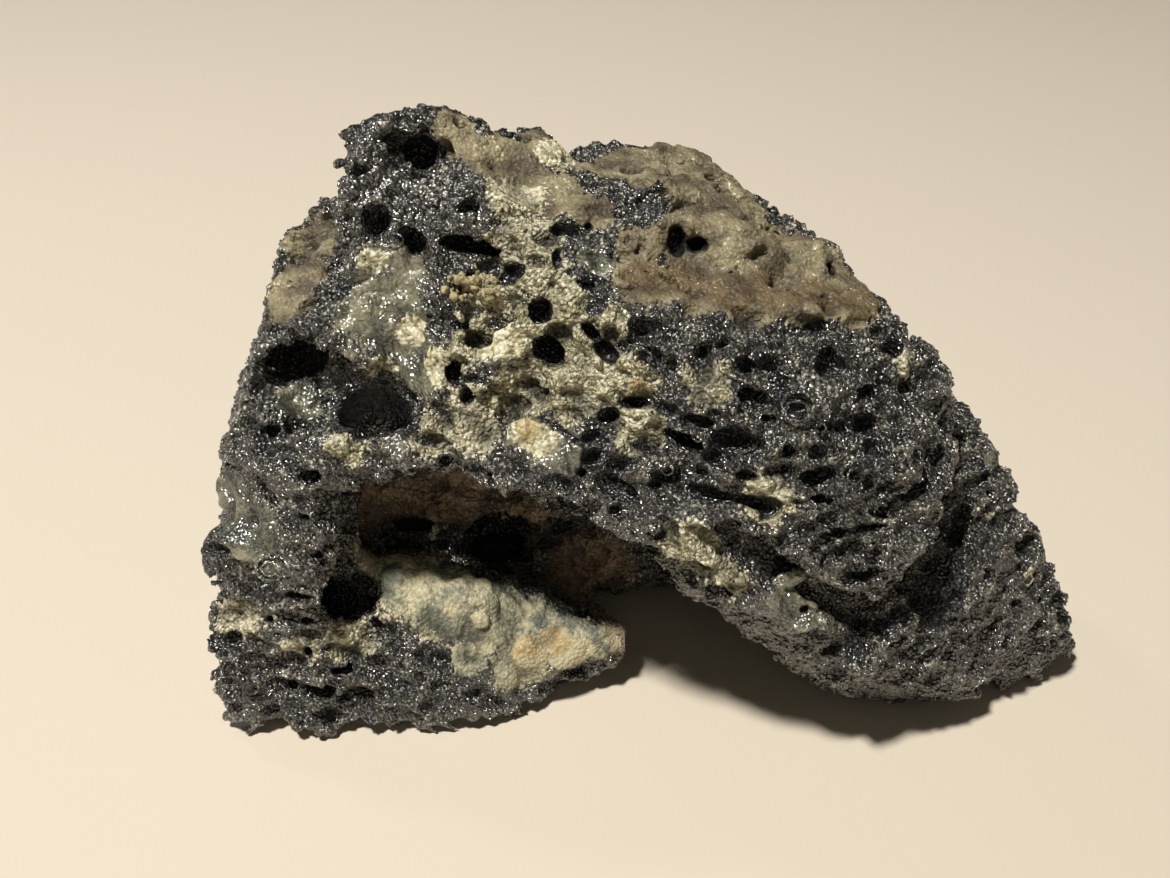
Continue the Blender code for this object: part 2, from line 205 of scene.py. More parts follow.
# Where each kind of surface lies: places in the camera's frame, each with a reach in mm.
ZONES = {
    "glass": [
        (392, 275, 2.2), (360, 310, 1.8), (395, 325, 2.4), (412, 365, 2.2), (350, 360, 1.4),
        (300, 403, 1.5), (395, 440, 1.1), (225, 500, 2.4), (250, 530, 2.2), (500, 345, 1.4),
        (530, 437, 1.7), (562, 456, 1.5), (805, 605, 2.2), (850, 620, 1.2), (600, 255, 1.3),
        (268, 570, 0.7), (912, 348, 0.8), (992, 462, 0.8),
    ],
    "crust": [
        (465, 130, 2.0), (500, 150, 2.6), (520, 175, 2.3), (555, 190, 2.0), (540, 135, 2.2),
        (585, 150, 1.6), (592, 205, 1.7), (615, 160, 2.6), (650, 155, 3.2), (690, 165, 3.6),
        (720, 190, 3.8), (740, 222, 3.6), (785, 238, 3.6), (815, 258, 3.0), (845, 280, 2.2),
        (680, 225, 2.0), (700, 250, 2.2), (640, 245, 1.5), (650, 282, 2.3), (700, 282, 2.7),
        (750, 287, 2.7), (800, 290, 2.5), (850, 297, 2.1), (720, 252, 1.9), (310, 235, 2.2),
        (285, 300, 2.0), (300, 270, 1.9),
    ],
    "shelf": [
        (650, 280, 1.7), (690, 280, 2.0), (730, 284, 2.1), (775, 287, 2.1), (820, 291, 1.9),
        (860, 297, 1.6),
    ],
    "beads": [
        (375, 125, 1.6), (395, 175, 2.2), (355, 190, 1.6), (440, 185, 1.8), (465, 218, 1.4),
        (400, 225, 1.6), (485, 125, 1.0), (575, 150, 0.8), (610, 136, 0.9), (632, 195, 0.9),
        (655, 212, 0.7), (622, 215, 0.6), (350, 300, 1.2), (300, 440, 1.2),
    ],
    "powder": [
        (385, 550, 2.2), (410, 575, 3.0), (450, 600, 3.2), (490, 610, 3.2), (530, 625, 2.8),
        (570, 640, 2.4), (605, 645, 1.8), (520, 670, 2.2), (470, 660, 1.6), (350, 555, 1.8),
    ],
    "dust": [
        (520, 195, 2.0), (530, 230, 2.2), (500, 255, 1.6), (560, 300, 1.8), (600, 330, 1.7),
        (455, 330, 1.4), (545, 375, 1.8), (610, 410, 1.6), (535, 265, 1.9), (490, 290, 2.2),
        (510, 325, 2.2), (475, 340, 1.6), (555, 330, 2.0), (585, 360, 2.2), (625, 385, 2.0),
        (440, 365, 1.6), (470, 420, 2.2), (520, 395, 2.2), (535, 435, 1.4), (570, 400, 1.8),
        (430, 435, 1.4), (345, 445, 1.6), (705, 380, 1.9), (640, 430, 1.7), (350, 640, 1.8),
        (235, 620, 1.7), (300, 655, 1.5), (770, 500, 1.8), (690, 560, 2.4), (730, 590, 2.0),
        (560, 150, 1.5), (372, 262, 1.1), (412, 330, 1.0), (380, 372, 1.1), (912, 368, 1.2),
        (1003, 520, 1.1), (1037, 580, 0.9),
    ],
    "ochre": [
        (530, 655, 1.5), (555, 640, 1.3), (528, 428, 0.9), (700, 372, 0.7), (640, 390, 0.7),
        (610, 355, 0.7),
    ],
    "crumbs": [
        (462, 285, 1.0), (485, 300, 1.1), (490, 270, 0.9),
    ],
    "cave": [
        (370, 500, 2.4), (410, 510, 2.6), (460, 500, 3.0), (520, 530, 3.2), (590, 570, 3.4),
        (650, 600, 2.4), (335, 595, 1.4),
    ],
}
# A line of sight that just misses the rock takes the skin nearest to it at this distance, in mm.
EYE_TO_ROCK = 66


def seen(across, down):
    """The point and outward direction of the solid's skin at a place of the camera's frame."""
    x = (across - FRAME_WIDTH / 2) / FOCAL_IN_PIXELS
    y = (FRAME_HEIGHT / 2 - down) / FOCAL_IN_PIXELS
    ray = (camera.rotation_euler.to_matrix() @ Vector((x, y, -1))).normalized()
    point, normal, _, _ = solid_tree.ray_cast(EYE * MM, ray)
    if point is None:
        point, normal, _, _ = solid_tree.find_nearest((EYE + ray * EYE_TO_ROCK) * MM)
    return np.array(point) / MM, np.array(normal)


zone_spots = {
    name: [(seen(across, down)[0], reach) for across, down, reach in spots]
    for name, spots in ZONES.items()
}
# Crust also lies over the back, where the lava cooled first: place and reach in mm.
BACK_CRUST = [
    ((-6, 11, 20), 6.5),
    ((-2, 13, 13), 6.0),
    ((3, 11, 19), 6.5),
    ((6, 12, 12), 5.0),
    ((10, 8, 15), 5.5),
    ((-15, 8, 14), 5.0),
    ((-18, 5, 20), 4.5),
    ((16, 5, 9), 4.5),
]
zone_spots["crust"] += [(np.array(place), reach) for place, reach in BACK_CRUST]
# The edge of a zone is this share of its reach wide.
EDGE_OF_FORM = 0.4
EDGE_OF_COLOUR = 0.7
FAR_OUTSIDE = -9.0


def share_in(zone, x, y, z, softness=EDGE_OF_FORM):
    """How far, from 0 to 1, points lie inside the round spots of a zone."""
    shape = np.broadcast_shapes(x.shape, y.shape, z.shape)
    inside = np.full(shape, FAR_OUTSIDE, np.float32)
    for centre, reach in zone_spots[zone]:
        away = np.sqrt((x - centre[0]) ** 2 + (y - centre[1]) ** 2 + (z - centre[2]) ** 2)
        inside = np.maximum(inside, (reach - away) / (softness * reach))
    t = np.clip(inside, 0, 1)
    return t * t * (3 - 2 * t)


# Bubble walls and powder lie on an evened form, and so, in part, does the crust. The lumps fade
# out over the last FOOT_HEIGHT, in mm, above the floor.
EVEN_PASSES = 9
CRUST_EVENED = 0.4
CRUST_HIDES_ROUGH = 0.85
FOOT_HEIGHT = 0.6

form_places = places_along(FORM_STEP)
form_grid = vdb.FloatGrid.createLevelSetFromPolygons(
    solid_points,
    triangles=solid_faces,
    transform=vdb.createLinearTransform(voxelSize=FORM_STEP),
    halfWidth=float(FORM_REACH),
)
form = np.zeros([len(p) for p in form_places], np.float32)
form_grid.copyToArray(form, ijk=[round(p[0] / FORM_STEP) for p in form_places])
form = blurred(form, 2)

form_xyz = (
    form_places[0][:, None, None],
    form_places[1][None, :, None],
    form_places[2][None, None, :],
)
glass_form = np.maximum(share_in("glass", *form_xyz), share_in("powder", *form_xyz))
crust_form = share_in("crust", *form_xyz)
even = np.maximum(glass_form, CRUST_EVENED * crust_form)
form += even * (blurred(form, EVEN_PASSES) - form)

places = places_along(STEP)
field = stretched(form, form_places, places)


def fine_share(coarse_share):
    """A zone's share at the coarse points, read at the fine ones."""
    return np.clip(stretched(coarse_share, form_places, places), 0, 1)


smooth_share = fine_share(glass_form)
crust_share = fine_share(crust_form)
bead_share = fine_share(share_in("beads", *form_xyz))
rough_share = np.clip(1 - smooth_share - CRUST_HIDES_ROUGH * crust_share, 0, 1)
off_ground = np.clip(places[2] / FOOT_HEIGHT, 0, 1)[None, None, :].astype(np.float32)


def noise(size, seed):
    """Smooth random lumps of this size in mm over the whole grid, with a spread of 1."""
    dice = np.random.default_rng(seed)
    coarse_places = [np.arange(p[0] - 2 * size, p[-1] + 3 * size, size) for p in places]
    lattice = dice.standard_normal([len(p) for p in coarse_places], dtype=np.float32)
    lumps = stretched(lattice, coarse_places, places)
    return lumps / lumps.std()


def rounded_lumps(size, seed, fullness=1.0):
    """Lumps like drops that touch: rounded, with sharp creases between them."""
    return np.maximum(fullness - np.abs(noise(size, seed)), 0)


# The lumps of each surface: size in mm and seed, then heights in mm. They only take away, so the
# skin stays inside the solid's box.
SWELLS, SWELL_BASE, SWELL_HEIGHT = (1.8, 11), 0.08, 0.12
KNOBS, KNOB_HEIGHT, KNOB_MORE_ON_BEADS = (0.75, 12), 0.12, 0.06
SMALL_KNOBS, SMALL_KNOB_HEIGHT, SMALL_KNOB_MORE_ON_BEADS = (0.38, 13), 0.10, 0.16
KNOB_FULLNESS = 1.1
CRUST_LUMPS, CRUST_LUMP_HEIGHT = (1.3, 15), 0.26
CRUST_GRAIN, CRUST_GRAIN_HEIGHT = (0.5, 17), 0.09
SHELF_EVENED = 0.75
WALL_SWELLS, WALL_SWELL_BASE, WALL_SWELL_HEIGHT = (0.9, 16), 0.10, 0.10
WALL_LUMPS, WALL_LUMP_HEIGHT = (0.6, 18), 0.26
TOOTH, TOOTH_HEIGHT, TOOTH_LOST_ON_WALLS = (0.27, 14), 0.03, 0.7

large = KNOB_HEIGHT + KNOB_MORE_ON_BEADS * bead_share
knobs = large * rounded_lumps(*KNOBS, KNOB_FULLNESS)
small = SMALL_KNOB_HEIGHT + SMALL_KNOB_MORE_ON_BEADS * bead_share
knobs += small * rounded_lumps(*SMALL_KNOBS, KNOB_FULLNESS)
relief = SWELL_BASE + SWELL_HEIGHT * noise(*SWELLS)
relief += rough_share * knobs
lumpy = crust_share * (1 - SHELF_EVENED * fine_share(share_in("shelf", *form_xyz)))
crust_relief = CRUST_LUMP_HEIGHT * rounded_lumps(*CRUST_LUMPS)
relief += lumpy * (crust_relief + CRUST_GRAIN_HEIGHT * noise(*CRUST_GRAIN))
relief += smooth_share * (WALL_SWELL_BASE + WALL_SWELL_HEIGHT * noise(*WALL_SWELLS))
relief += smooth_share * WALL_LUMP_HEIGHT * rounded_lumps(*WALL_LUMPS)
relief = np.maximum(relief, 0)
field += off_ground * relief
del large, small, knobs, relief, crust_relief, bead_share, lumpy


# Added where a sum could be nothing.
TINY = 1e-9


def carve(centre, axes, radii):
    """Takes an ellipsoid out of the field. Its axes are unit vectors, one in each row."""
    reach = np.sqrt(((axes * radii[:, None]) ** 2).sum(0)) + 2 * STEP
    window = []
    offsets = []
    for axis in range(3):
        first = max(0, int((centre[axis] - reach[axis] - places[axis][0]) / STEP))
        last = max(0, int((centre[axis] + reach[axis] - places[axis][0]) / STEP) + 2)
        window.append(slice(first, last))
        offsets.append(places[axis][first:last] - centre[axis])
    x, y, z = offsets[0][:, None, None], offsets[1][None, :, None], offsets[2][None, None, :]
    near = 0
    steep = 0
    for axis, radius in zip(axes, radii):
        along = (axis[0] * x + axis[1] * y + axis[2] * z) / radius
        near = near + along**2
        steep = steep + (along / radius) ** 2
    near = np.sqrt(near)
    distance = near * (near - 1) / np.sqrt(steep + TINY)
    part = field[tuple(window)]
    np.maximum(part, -distance.astype(np.float32), out=part)


def axes_on(outward, grain):
    """Three unit rows: along the grain in the surface, across it, and outwards."""
    along = grain - outward * (grain @ outward)
    along /= np.linalg.norm(along) + TINY
    return np.array([along, np.cross(outward, along), outward])


RIGHT = np.array([1.0, 0.0, 0.0])
UP = np.array([0.0, math.sin(LOOK_DOWN), math.cos(LOOK_DOWN)])
TO_EYE = np.array([0.0, -math.cos(LOOK_DOWN), math.sin(LOOK_DOWN)])


def mouth_of(across, down, tilt):
    """Where a bubble opens at a place of the camera's frame, and its axes, tilted in degrees."""
    point, normal = seen(across, down)
    outward = normal + TO_EYE
    outward /= np.linalg.norm(outward)
    turn = math.radians(tilt)
    return point, axes_on(outward, RIGHT * math.cos(turn) + UP * math.sin(turn))


# A bubble is a little wider inside than at its mouth, and its middle lies below the skin.
WIDTH_TO_RADIUS = 0.53
DEPTH_TO_RADIUS = 0.75
DEPTH_TO_MIDDLE = 0.25
hollows = []


def open_bubble(across, down, width, height, tilt, depth):
    """A bubble broken open at a place of the camera's frame. Sizes in mm, tilt in degrees."""
    point, axes = mouth_of(across, down, tilt)
    radii = np.array([width * WIDTH_TO_RADIUS, height * WIDTH_TO_RADIUS, depth * DEPTH_TO_RADIUS])
    centre = point - axes[2] * depth * DEPTH_TO_MIDDLE
    carve(centre, axes, radii)
    hollows.append((centre, axes, radii))


# The bubbles that show from the front, each at its place in the camera's frame:
# (across, down, width mm, height mm, tilt in degrees)
BUBBLES = {
    "crown": [
        (421, 151, 1.5, 1.4, 15), (353, 165, 1.0, 0.7, 0), (374, 216, 1.2, 1.4, 0),
        (414, 238, 1.4, 0.9, -45), (470, 249, 2.7, 0.8, -14), (506, 268, 1.3, 1.2, -30),
        (466, 204, 1.0, 0.8, 20), (556, 224, 0.7, 0.6, 0), (296, 361, 2.9, 1.8, 10),
        (374, 411, 3.3, 2.3, -5), (262, 434, 1.2, 0.6, 10), (305, 480, 1.2, 0.7, 15),
        (250, 366, 0.5, 0.5, 0),
    ],
    "seam": [
        (568, 222, 1.15, 0.65, 0), (590, 232, 0.4, 0.3, 0), (557, 254, 0.4, 0.9, 0),
        (586, 278, 0.9, 0.28, 0), (540, 309, 1.0, 1.1, 0), (548, 354, 1.5, 1.0, -45),
        (588, 332, 1.0, 0.5, -45), (604, 352, 1.2, 0.7, -45), (638, 337, 0.33, 0.33, 0),
        (627, 342, 0.35, 0.35, 0), (455, 376, 0.7, 0.95, 0), (467, 312, 0.4, 0.4, 0),
        (469, 272, 0.7, 0.5, 0), (448, 322, 0.85, 0.55, 0), (538, 392, 0.9, 0.35, 0),
        (465, 396, 0.55, 0.7, 0), (605, 416, 1.0, 0.7, 20), (589, 435, 0.85, 0.5, 20),
        (588, 456, 0.9, 0.7, 45), (578, 474, 0.5, 0.4, 0), (612, 463, 1.1, 0.8, 0),
        (446, 464, 0.55, 0.55, 0), (488, 488, 0.45, 0.3, 0), (514, 498, 1.1, 0.36, 35),
        (538, 516, 0.75, 0.35, 0), (565, 513, 1.2, 0.8, 0), (589, 509, 0.9, 0.65, 20),
        (614, 515, 0.6, 0.5, 0), (629, 466, 0.5, 0.3, -30),
    ],
    "upper_block": [
        (706, 346, 0.95, 0.55, 35), (727, 336, 0.70, 0.35, 30), (651, 358, 0.80, 0.80, 0),
        (632, 402, 1.30, 0.50, 0), (665, 411, 1.35, 0.50, -20), (675, 390, 0.40, 0.35, 0),
        (746, 364, 0.60, 0.60, 0), (764, 361, 0.95, 0.80, 20), (782, 386, 0.85, 1.60, 0),
        (751, 390, 0.50, 0.65, 0), (755, 404, 1.60, 0.60, 5), (799, 406, 1.25, 1.25, 0),
        (835, 364, 1.30, 0.90, 10), (820, 318, 1.10, 0.60, 5), (855, 430, 0.95, 1.15, 0),
        (895, 345, 0.90, 0.80, 20), (870, 395, 0.80, 0.60, 20), (915, 390, 0.80, 0.60, 0),
    ],
    "middle_block": [
        (693, 424, 1.80, 0.60, -5), (740, 441, 2.30, 1.05, -12), (683, 441, 1.80, 0.60, -18),
        (714, 457, 1.10, 0.75, 0), (641, 449, 1.20, 0.45, -15), (834, 428, 1.15, 0.45, 20),
        (829, 438, 0.50, 0.50, 0), (791, 452, 0.60, 0.45, -20), (685, 464, 0.35, 0.30, 0),
        (699, 471, 0.70, 0.55, 0), (666, 477, 1.40, 0.60, -8), (612, 491, 2.10, 0.90, -25),
        (655, 489, 0.95, 0.35, -22), (705, 496, 2.20, 0.70, -12), (825, 479, 1.70, 0.75, 4),
        (749, 477, 0.95, 0.35, 0), (857, 477, 0.62, 0.62, 0), (880, 449, 0.95, 1.10, 0),
    ],
    "lower_block": [
        (750, 500, 1.65, 0.45, -14), (825, 502, 1.40, 0.30, -14), (920, 495, 2.00, 0.40, 15),
        (937, 470, 0.65, 1.90, 5), (771, 517, 0.90, 0.36, 25), (839, 535, 1.25, 0.42, 20),
        (878, 533, 1.60, 0.30, 5), (736, 543, 2.60, 0.50, -24), (832, 565, 0.50, 0.75, 0),
        (870, 579, 1.80, 0.48, 18), (914, 586, 2.00, 0.48, 5), (950, 599, 1.00, 0.90, 40),
        (812, 613, 0.55, 0.36, 0), (773, 568, 0.60, 0.50, 0), (723, 600, 0.85, 0.32, -5),
    ],
    "block_pits": [
        (779, 380, 0.8, 1.5, 0), (737, 443, 1.9, 0.8, -12), (614, 493, 1.9, 0.85, -24),
        (737, 539, 2.1, 0.6, -20), (867, 421, 0.9, 0.7, 10), (894, 384, 0.75, 1.0, 0),
        (827, 362, 0.85, 0.85, 0), (648, 356, 0.9, 0.7, -20), (656, 541, 0.8, 0.5, -15),
        (869, 579, 2.1, 0.45, 8), (841, 537, 0.7, 0.5, 10), (922, 497, 1.7, 0.55, 18),
        (675, 470, 0.8, 0.4, -15), (790, 470, 0.6, 0.4, -5), (715, 415, 0.6, 0.35, -20),
        (600, 440, 0.7, 0.35, -20), (760, 595, 0.6, 0.4, -30), (885, 455, 0.7, 0.4, 15),
    ],
    "slab": [
        (997, 497, 0.30, 0.75, 0), (989, 478, 0.35, 0.55, 0), (996, 578, 0.65, 0.45, -20),
        (1014, 591, 0.45, 0.45, 40), (962, 624, 1.20, 0.55, 20), (1024, 608, 0.65, 0.35, 10),
        (1052, 606, 0.50, 0.38, 0), (972, 585, 0.70, 0.50, 30),
    ],
    "crust": [
        (678, 242, 0.75, 1.30, 0), (697, 247, 0.95, 0.60, 0), (834, 267, 0.40, 0.70, 0),
    ],
    "leg": [
        (312, 561, 0.60, 0.45, 45), (324, 569, 0.45, 0.55, 0), (212, 582, 0.55, 0.45, 0),
        (298, 600, 1.40, 0.25, 0), (301, 520, 0.55, 0.30, 0), (232, 638, 0.65, 0.45, 20),
        (266, 624, 0.40, 0.40, 0), (304, 628, 0.65, 0.45, 0), (283, 686, 0.65, 0.55, 0),
        (316, 697, 1.60, 0.80, -10), (307, 658, 0.36, 0.65, 0), (342, 673, 1.10, 0.45, 0),
        (338, 597, 2.60, 2.00, 0), (376, 626, 0.90, 0.40, -40), (500, 546, 3.00, 1.70, 0),
        (415, 525, 2.10, 0.70, 5),
    ],
}
# Depth in mm: the least, and what each mm of width adds.
LEAST_DEPTH, DEPTH_PER_WIDTH = 0.9, 0.9
for group in BUBBLES.values():
    for across, down, width, height, tilt in group:
        depth = LEAST_DEPTH + DEPTH_PER_WIDTH * math.sqrt(width * height)
        open_bubble(across, down, width, height, tilt, depth)

# Cracks and overhangs: the places that each passes in the camera's frame, width and depth in mm.
# Each is a run of small bubbles, CRACK_PITCH apart in that frame.
CRACKS = [
    ([(196, 559), (222, 575), (250, 594)], 0.28, 0.8),
    ([(216, 466), (250, 482), (272, 505), (284, 520)], 0.40, 0.7),
    ([(500, 403), (523, 412), (541, 420), (565, 433), (592, 452)], 0.30, 0.6),
    ([(640, 201), (672, 206), (700, 196), (733, 203)], 0.35, 0.5),
    ([(586, 174), (600, 188), (598, 203), (584, 207)], 0.28, 0.4),
    ([(745, 547), (775, 566), (800, 585), (850, 612), (890, 632)], 0.75, 1.4),
    ([(966, 400), (950, 440), (946, 470), (962, 515), (950, 545), (938, 570)], 0.75, 1.3),
    ([(585, 325), (600, 335), (615, 355)], 0.35, 0.6),
]
CRACK_PITCH = 5
for run, width, depth in CRACKS:
    for start, end in zip(run, run[1:]):
        steps = math.ceil(math.dist(start, end) / CRACK_PITCH)
        for step in range(steps):
            share = step / steps
            across = start[0] + (end[0] - start[0]) * share
            down = start[1] + (end[1] - start[1]) * share
            open_bubble(across, down, width, width, 0, depth)

# The rest of the froth: small bubbles all over the broken faces, few on crust and glass. They are
# drawn out nearly level, in layers that curve up to the right like the side of a bowl. Sizes are
# radii in mm. The higher the fineness, the more of them are small.
FROTH = 44_000
FROTH_SEED = 21
SMALLEST, LARGEST = 0.12, 0.60
FINE_BUBBLE = 0.16
FINENESS_IN_FRONT, FINENESS_BEHIND = 3.0, 2.6
FACING_FRONT = -0.2
LEFT_OUT = {"glass": 1.15, "powder": 1.15, "crust": 0.86, "beads": 0.85, "cave": 0.5}
SUNK = (0.0, 0.6)
DRAWN_OUT, LONGER, SLIMMER = (1.0, 2.3), 0.6, -0.4
DEEPENED = (1.0, 1.6)
SWAY = 0.22
TILT_AT_LEFT, TILT_PER_MM = -22, 3.1
TILT_STARTS, TILT_RUN = -4, 16

dice = np.random.default_rng(FROTH_SEED)
corners = solid_points[solid_faces]
spans = np.cross(corners[:, 1] - corners[:, 0], corners[:, 2] - corners[:, 0])
areas = np.linalg.norm(spans, axis=1)
picked = dice.choice(len(areas), FROTH, p=areas / areas.sum())
mix = dice.dirichlet((1, 1, 1), FROTH)
spots = (corners[picked] * mix[:, :, None]).sum(1)
outward = spans[picked] / areas[picked][:, None]
bare = np.max([share_in(zone, *spots.T) * share for zone, share in LEFT_OUT.items()], axis=0)
fineness = np.where(outward[:, 1] < FACING_FRONT, FINENESS_IN_FRONT, FINENESS_BEHIND)
sizes = SMALLEST * (LARGEST / SMALLEST) ** (dice.random(FROTH) ** fineness)
kept = dice.random(FROTH) > bare
sink = dice.uniform(*SUNK, FROTH)
drawn = dice.uniform(*DRAWN_OUT, FROTH)
deepened = dice.uniform(*DEEPENED, FROTH)
sway = dice.normal(0, SWAY, (FROTH, 3))
tilts = np.radians(
    TILT_AT_LEFT + TILT_PER_MM * np.clip(spots[:, 0] - TILT_STARTS, 0, TILT_RUN)
)
grains = np.stack([np.cos(tilts), np.zeros(FROTH), np.sin(tilts)], 1) + sway


def carve_froth(chosen):
    """Carves the chosen bubbles of the froth, each long along its grain and slim across it."""
    for i in np.flatnonzero(chosen):
        radii = sizes[i] * np.array([drawn[i] ** LONGER, drawn[i] ** SLIMMER, deepened[i]])
        carve(spots[i] - outward[i] * sizes[i] * sink[i], axes_on(outward[i], grains[i]), radii)


# The smallest bubbles come after the skin is softened, so that their rims stay sharp.
carve_froth(kept & (sizes >= FINE_BUBBLE))
field = blurred(field, 1)
carve_froth(kept & (sizes < FINE_BUBBLE))
toothed = off_ground * (1 - TOOTH_LOST_ON_WALLS * smooth_share)
field += toothed * (TOOTH_HEIGHT + TOOTH_HEIGHT * noise(*TOOTH))
field = np.maximum(np.clip(field, -1, 1), -places[2][None, None, :]).astype(np.float32)
del toothed


def mesh_from(name, points, polygons):
    """A mesh from points in mm and polygons that all have the same number of corners."""
    mesh = bpy.data.meshes.new(name)
    sides = polygons.shape[1]
    mesh.vertices.add(len(points))
    mesh.vertices.foreach_set("co", (points * MM).astype(np.float32).ravel())
    mesh.loops.add(polygons.size)
    mesh.loops.foreach_set("vertex_index", polygons.astype(np.int32).ravel())
    mesh.polygons.add(len(polygons))
    mesh.polygons.foreach_set("loop_start", np.arange(0, polygons.size, sides, dtype=np.int32))
    mesh.update(calc_edges=True)
    mesh.validate()
    return mesh


def put_in_scene(name, mesh):
    """A new object for a mesh whose points are already in place."""
    piece = bpy.data.objects.new(name, mesh)
    bpy.context.scene.collection.objects.link(piece)
    return piece


# The skin is meshed in five parts, so that each stays under 200,000 faces. Each is closed, and
# runs a little way into its neighbours: lowest and highest x, y and z, in mm.
PART_TRIANGLES = 197_000
SPLIT_ACROSS, SPLIT_BEHIND = -2.0, 5.0
CROWN_FOOT = 14.5
BLOCK_END = 9.0
OVERLAP = 0.2
FAR = 99.0
IN_FRONT = (-FAR, SPLIT_BEHIND + OVERLAP)
ALL_HEIGHTS = (-FAR, FAR)
SKIN_PARTS = {
    "rock_crown": ((-FAR, SPLIT_ACROSS + OVERLAP), IN_FRONT, (CROWN_FOOT - OVERLAP, FAR)),
    "rock_leg_and_toe": ((-FAR, SPLIT_ACROSS + OVERLAP), IN_FRONT, (-FAR, CROWN_FOOT + OVERLAP)),
    "rock_frothy_block": ((SPLIT_ACROSS - OVERLAP, BLOCK_END + OVERLAP), IN_FRONT, ALL_HEIGHTS),
    "rock_side_slab": ((BLOCK_END - OVERLAP, FAR), IN_FRONT, ALL_HEIGHTS),
    "rock_back": ((-FAR, FAR), (SPLIT_BEHIND - OVERLAP, FAR), ALL_HEIGHTS),
}
SMALLEST_ISLAND = 2_000

skin_parts = []
for name, limits in SKIN_PARTS.items():
    window = [slice(*np.searchsorted(p, limit)) for p, limit in zip(places, limits)]
    grid = vdb.FloatGrid()
    grid.transform = vdb.createLinearTransform(voxelSize=STEP)
    grid.background = 1.0
    grid.copyFromArray(
        np.ascontiguousarray(field[tuple(window)]),
        ijk=[round(p[w.start] / STEP) for p, w in zip(places, window)],
    )
    points, _, quads = grid.convertToPolygons(isovalue=0.0, adaptivity=0.0)
    part = put_in_scene(name, mesh_from(name, points, quads))
    thin = part.modifiers.new("fewer_faces", "DECIMATE")
    thin.ratio = min(1.0, PART_TRIANGLES / (2 * len(quads)))
    thin.use_collapse_triangulate = True
    bpy.context.view_layer.update()
    thinned = part.evaluated_get(bpy.context.evaluated_depsgraph_get())
    mesh = bpy.data.meshes.new_from_object(thinned)
    part.modifiers.clear()
    part.data = mesh

    # Bubbles shut up inside the rock, and crumbs cut loose from it, are left out.
    bm = bmesh.new()
    bm.from_mesh(mesh)
    loose = set(bm.verts)
    while loose:
        island = [loose.pop()]
        for vert in island:
            for edge in vert.link_edges:
                other = edge.other_vert(vert)
                if other in loose:
                    loose.discard(other)
                    island.append(other)
        if len(island) < SMALLEST_ISLAND:
            for vert in island:
                bm.verts.remove(vert)
    bm.to_mesh(mesh)
    bm.free()
    mesh.shade_smooth()
    skin_parts.append(part)
del field


def read_form(points):
    """How far points in mm lie outside the softened form: below the skin it is negative."""
    cells, shares = [], []
    for axis, along in enumerate(form_places):
        at = (points[:, axis] - along[0]) / FORM_STEP
        at = np.clip(at, 0, len(along) - 1.001)  # just short of the last point
        cells.append(at.astype(int))
        shares.append(at - cells[-1])
    value = 0
    for corner in np.ndindex(2, 2, 2):
        share = 1
        for step, t in zip(corner, shares):
            share = share * np.abs(1 - step - t)
        value = value + form[tuple(c + step for c, step in zip(cells, corner))] * share
    return value


# A point lies in a bubble up to HOLLOW_REACH of its radii. Where it lies deeper in the rock than
# DARK_FROM, in mm, it starts to turn dark: painted shade, for the shade inside the bubble.
HOLLOW_REACH, HOLLOW_EDGE = 1.3, 0.2
DARK_FROM, DARK_OVER = 0.15, 0.35
DEEPEST = 3


def mark_zones(mesh, points):
    """Stores on each point of a mesh how far it lies in each zone, how deep it lies, and its
    painted shade in a bubble.
    """
    layers = {name: share_in(name, *points.T, softness=EDGE_OF_COLOUR) for name in ZONES}
    layers["crust"] *= 1 - layers["beads"]
    layers["sunk"] = np.clip(-read_form(points), 0, DEEPEST)
    painted_hollow_shade = np.zeros(len(points))
    for centre, axes, radii in hollows:
        near = np.flatnonzero((np.abs(points - centre) < radii.max() * HOLLOW_REACH).all(1))
        reach = np.linalg.norm((points[near] - centre) @ axes.T / radii, axis=1)
        share = np.clip((HOLLOW_REACH - reach) / HOLLOW_EDGE, 0, 1)
        painted_hollow_shade[near] = np.maximum(painted_hollow_shade[near], share)
    # Painted shade inside the bubbles, where they lie deep enough.
    layers["painted_hollow_shade"] = painted_hollow_shade * np.clip((layers["sunk"] - DARK_FROM) / DARK_OVER, 0, 1)
    for name, values in layers.items():
        layer = mesh.attributes.new(name, "FLOAT", "POINT")
        layer.data.foreach_set("value", values.astype(np.float32))


def points_of(mesh):
    """The points of a mesh, in mm."""
    points = np.empty(len(mesh.vertices) * 3, np.float32)
    mesh.vertices.foreach_get("co", points)
    return points.reshape(-1, 3) / MM


for part in skin_parts:
    mark_zones(part.data, points_of(part.data))


def add_node(tree, kind, settings=(), links=(), stops=()):
    """Adds a node with its settings, its links to sockets and, on a ramp, its colour stops."""
    node = tree.nodes.new(kind)
    for name, value in dict(settings).items():
        if isinstance(name, str) and hasattr(node, name):
            setattr(node, name, value)
        else:
            node.inputs[name].default_value = value
    for name, source in dict(links).items():
        tree.links.new(source, node.inputs[name])
    for i, (place, colour) in enumerate(stops):
        elements = node.color_ramp.elements
        stop = elements[i] if i < 2 else elements.new(place)
        stop.position = place
        stop.color = linear(colour)
    return node


